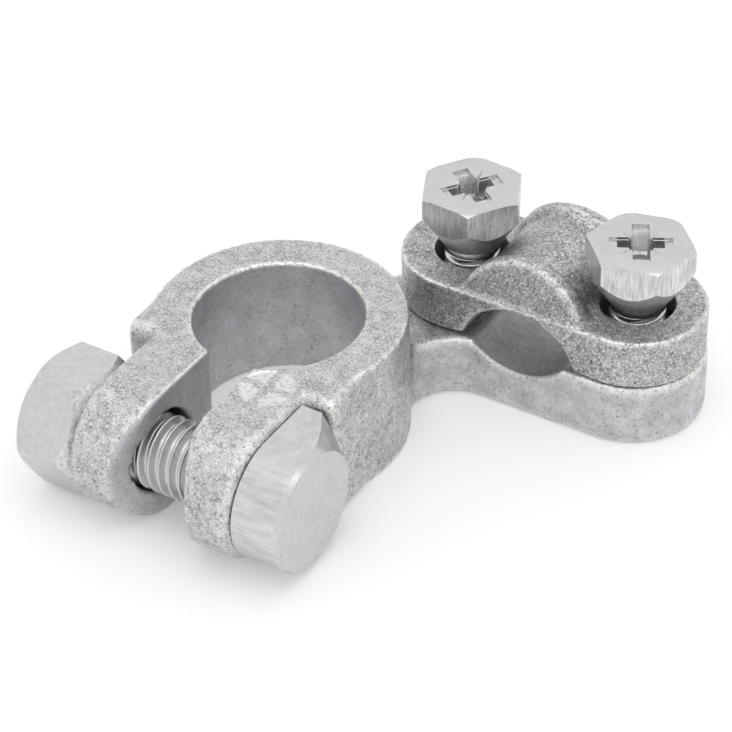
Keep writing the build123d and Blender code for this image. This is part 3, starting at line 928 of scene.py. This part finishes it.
class CLAMP_OT_screws(bpy.types.Operator):
    """The two saddle screws with their cross recesses"""

    bl_idname = "clamp.screws"
    bl_label = "Saddle screws"

    def cutters(self, settings, middle, turn, finish):
        """Two bars with a shallow ledge at their ends, a round core and four fine ticks."""
        lift = 0.3 * MM
        rotation = Matrix.Rotation(turn, 3, "Z")

        def ring(points, z):
            return [middle + rotation @ Vector((x, y, z)) for x, y in points]

        def bar(reach, half):
            return [(reach, -half), (reach, half), (-reach, half), (-reach, -half)]

        solids = []
        for k in range(2):
            rotation = Matrix.Rotation(turn + k * math.pi / 2, 3, "Z")
            # no two solids share a level, which would leave the cut open
            half, step = settings.width / 2, k * 0.07 * MM
            solids.append(loft(f"arm_{k}", [
                ring(bar(settings.reach * 0.52, half * 0.8), -settings.depth * 0.84 - step),
                ring(bar(settings.reach * 0.74, half * 0.94), -0.33 * MM - step),
                ring(bar(settings.reach, half), -0.26 * MM - step),
                ring(bar(settings.reach, half), lift + step),
            ], finish))
        rotation = Matrix.Rotation(turn, 3, "Z")
        sides = 24
        circle = [(math.cos(math.tau * s / sides), math.sin(math.tau * s / sides))
                  for s in range(sides)]
        solids.append(loft("core", [
            ring([(x * 0.7 * settings.core_radius, y * 0.7 * settings.core_radius)
                  for x, y in circle], -settings.depth - 0.2 * MM),
            ring([(x * settings.core_radius, y * settings.core_radius)
                  for x, y in circle], 0.0),
            ring([(x * settings.core_radius, y * settings.core_radius)
                  for x, y in circle], lift + 0.13 * MM),
        ], finish))
        for k in range(4):
            rotation = Matrix.Rotation(turn + math.pi / 4 + k * math.pi / 2, 3, "Z")
            near, far = settings.core_radius * 0.8, settings.tick_reach
            wide, narrow, deep = 0.26 * MM, 0.03 * MM, 0.4 * MM
            solids.append(loft(f"tick_{k}", [
                [middle + rotation @ Vector(p) for p in
                 ((near, -wide, lift), (near, -wide, 0.0), (near, 0.0, -deep),
                  (near, wide, 0.0), (near, wide, lift))],
                [middle + rotation @ Vector(p) for p in
                 ((far, -narrow, lift), (far, -narrow, 0.0), (far, 0.0, -narrow),
                  (far, narrow, 0.0), (far, narrow, lift))],
            ], finish))
        return solids

    @staticmethod
    def surface(normal, centre):
        """0 top, 1 flats, 2 top edge, 3 cone under the head."""
        if normal.z > 0.9:
            return 0
        if normal.z > 0.2:
            return 2
        return 3 if normal.z < -0.2 else 1

    def collar(self, x, seat, finish):
        """Plain bright collar between the head and the thread."""
        sides = 64
        angles = [math.tau * s / sides for s in range(sides)]
        rings = [
            [Vector((x + radius * math.cos(a), SADDLE_Y + radius * math.sin(a), seat + rise))
             for a in angles]
            for radius, rise in COLLAR
        ]
        return loft("collar", rings, finish)

    def execute(self, context):
        plating = context.scene.clamp_plating
        thread = context.scene.clamp_thread
        side = plating.side_roughness
        drawn = {"contrast": 0.3, "streak": (3.6, 3.6, 0.4), "depth": 0.05}
        top = zinc_finish("Screw_top", plating, plating.face_roughness, contrast=0.05,
                          depth=0.012)
        flat = zinc_finish("Screw_flat", plating, side + 0.05, **drawn)
        edge = zinc_finish("Screw_edge", plating, side + 0.1)
        cone = zinc_finish("Screw_cone", plating, 0.35, contrast=0.25)
        recess = zinc_finish("Screw_recess", plating, side + 0.05, contrast=0.15, depth=0.03)
        collar = zinc_finish("Screw_collar", plating, side - 0.06)
        rolled = zinc_finish("Screw_thread", plating, side)
        for node, (x, level, turn) in SCREWS.items():
            head = node_copy(node, node + "_head")
            seat = level - SCREW_HEAD_HEIGHT
            keep_side(head, (0, 0, seat - 0.02 * MM), (0, 0, 1))
            soften_edges(head, plating.edge_round)
            paint_faces(head, (top, flat, edge, cone), self.surface)
            boolean(head, self.cutters(
                context.scene.clamp_recess, Vector((x, SADDLE_Y, level)), turn, recess))
            shank = threaded_shank(
                node + "_shank", thread, thread.screw_radius, thread.screw_pitch,
                SCREW_LENGTH + 0.4 * MM, 0.6 * MM,
                (x, SADDLE_Y, seat - SCREW_LENGTH), (0, 0, 0), rolled)
            boolean(shank, [self.collar(x, seat, collar)], "UNION")
            screw = boolean(head, [shank], "UNION")
            screw.name = node + "_dressed"
            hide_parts(node)
            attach(screw, node)
        return {"FINISHED"}


# ---- stage --------------------------------------------------------------
def background_rays(nodes):
    """1 for rays that show the background: camera, glossy and transmission."""
    path = nodes.add("ShaderNodeLightPath").outputs
    return nodes.math("MAXIMUM", path["Is Camera Ray"], nodes.math(
        "MAXIMUM", path["Is Glossy Ray"], path["Is Transmission Ray"]))


class CLAMP_OT_stage(bpy.types.Operator):
    """Pale table, soft light and the camera"""

    bl_idname = "clamp.stage"
    bl_label = "Stage"

    def floor(self, settings):
        bm = bmesh.new()
        bmesh.ops.create_grid(bm, x_segments=1, y_segments=1, size=3.0)
        mesh = bpy.data.meshes.new("floor")
        bm.to_mesh(mesh)
        bm.free()
        for vertex in mesh.vertices:
            vertex.co.z = -0.03 * MM
        material, nodes, shader, _ = new_material("Table", metallic=0.0)
        shader.inputs["Base Color"].default_value = rgba(settings.floor_colour)
        shader.inputs["Roughness"].default_value = 0.9
        shader.inputs["Specular IOR Level"].default_value = 0.0
        shader.inputs["Emission Color"].default_value = (1.0, 1.0, 1.0, 1.0)
        connect(nodes, shader, Emission_Strength=nodes.math(
            "MULTIPLY", background_rays(nodes), settings.floor_glow))
        mesh.materials.append(material)
        link("floor", mesh)

    def room(self, settings):
        """A pale room, plain white where it is seen as the background."""
        world = bpy.data.worlds.new("Room")
        world.use_nodes = True
        bpy.context.scene.world = world
        nodes = Nodes(world.node_tree)
        background = world.node_tree.nodes["Background"]
        level = settings.sky_level
        colour = nodes.mix(
            background_rays(nodes), rgba((level, level, level)), (1.0, 1.0, 1.0, 1.0))
        world.node_tree.links.new(colour, background.inputs["Color"])

    def lamp(self, name, place, target, size, power):
        light = bpy.data.lights.new(name, "AREA")
        light.shape = "SQUARE"
        light.size = size
        light.energy = power
        obj = bpy.data.objects.new(name, light)
        bpy.context.scene.collection.objects.link(obj)
        obj.location = place
        aim = Vector(target) - Vector(place)
        obj.rotation_euler = aim.to_track_quat("-Z", "Y").to_euler()

    def camera(self):
        data = bpy.data.cameras.new("camera")
        data.sensor_width = SENSOR_WIDTH
        data.lens = FOCAL_PIXELS * SENSOR_WIDTH / FRAME_PIXELS
        data.clip_start, data.clip_end = 0.01, 10.0
        camera = bpy.data.objects.new("camera", data)
        bpy.context.scene.collection.objects.link(camera)
        azimuth, elevation, roll = (
            math.radians(a) for a in (VIEW_AZIMUTH, VIEW_ELEVATION, VIEW_ROLL))
        back = Vector((
            math.sin(azimuth) * math.cos(elevation),
            -math.cos(azimuth) * math.cos(elevation), math.sin(elevation)))
        level = Vector((math.cos(azimuth), math.sin(azimuth), 0.0))
        upright = back.cross(level)
        right = level * math.cos(roll) + upright * math.sin(roll)
        up = upright * math.cos(roll) - level * math.sin(roll)
        place = (right * VIEW_RIGHT + up * VIEW_UP + back * VIEW_BACK) * MM
        camera.matrix_world = Matrix.Translation(place) @ Matrix(
            (right, up, back)).transposed().to_4x4()
        bpy.context.scene.camera = camera

    def execute(self, context):
        settings = context.scene.clamp_studio
        context.scene.view_settings.view_transform = "Standard"
        self.floor(settings)
        self.room(settings)
        self.lamp("key", KEY_PLACE, KEY_TARGET, KEY_SIZE, settings.key_power)
        self.camera()
        return {"FINISHED"}


class CLAMP_PT_panel(bpy.types.Panel):
    """Lists the pieces of the clamp and their settings"""

    bl_idname = "CLAMP_PT_panel"
    bl_label = "Terminal clamp"
    bl_space_type = "VIEW_3D"
    bl_region_type = "UI"
    bl_category = "Terminal clamp"

    def draw(self, context):
        for operator in OPERATORS:
            self.layout.operator(operator.bl_idname)
        for name, group in SETTINGS.items():
            box = self.layout.box()
            box.label(text=group.__doc__)
            for prop in group.__annotations__:
                box.prop(getattr(context.scene, name), prop)


OPERATORS = (
    CLAMP_OT_cast_body,
    CLAMP_OT_saddle,
    CLAMP_OT_bolt,
    CLAMP_OT_nut,
    CLAMP_OT_screws,
    CLAMP_OT_stage,
)


def register():
    for group in SETTINGS.values():
        bpy.utils.register_class(group)
    for name, group in SETTINGS.items():
        setattr(bpy.types.Scene, name, bpy.props.PointerProperty(type=group))
    for cls in (*OPERATORS, CLAMP_PT_panel):
        bpy.utils.register_class(cls)


def unregister():
    for cls in reversed((*OPERATORS, CLAMP_PT_panel)):
        bpy.utils.unregister_class(cls)
    for name in SETTINGS:
        delattr(bpy.types.Scene, name)
    for group in reversed(list(SETTINGS.values())):
        bpy.utils.unregister_class(group)


def main():
    register()
    bpy.ops.clamp.cast_body()
    bpy.ops.clamp.saddle()
    bpy.ops.clamp.bolt()
    bpy.ops.clamp.nut()
    bpy.ops.clamp.screws()
    bpy.ops.clamp.stage()


if __name__ == "__main__":
    main()
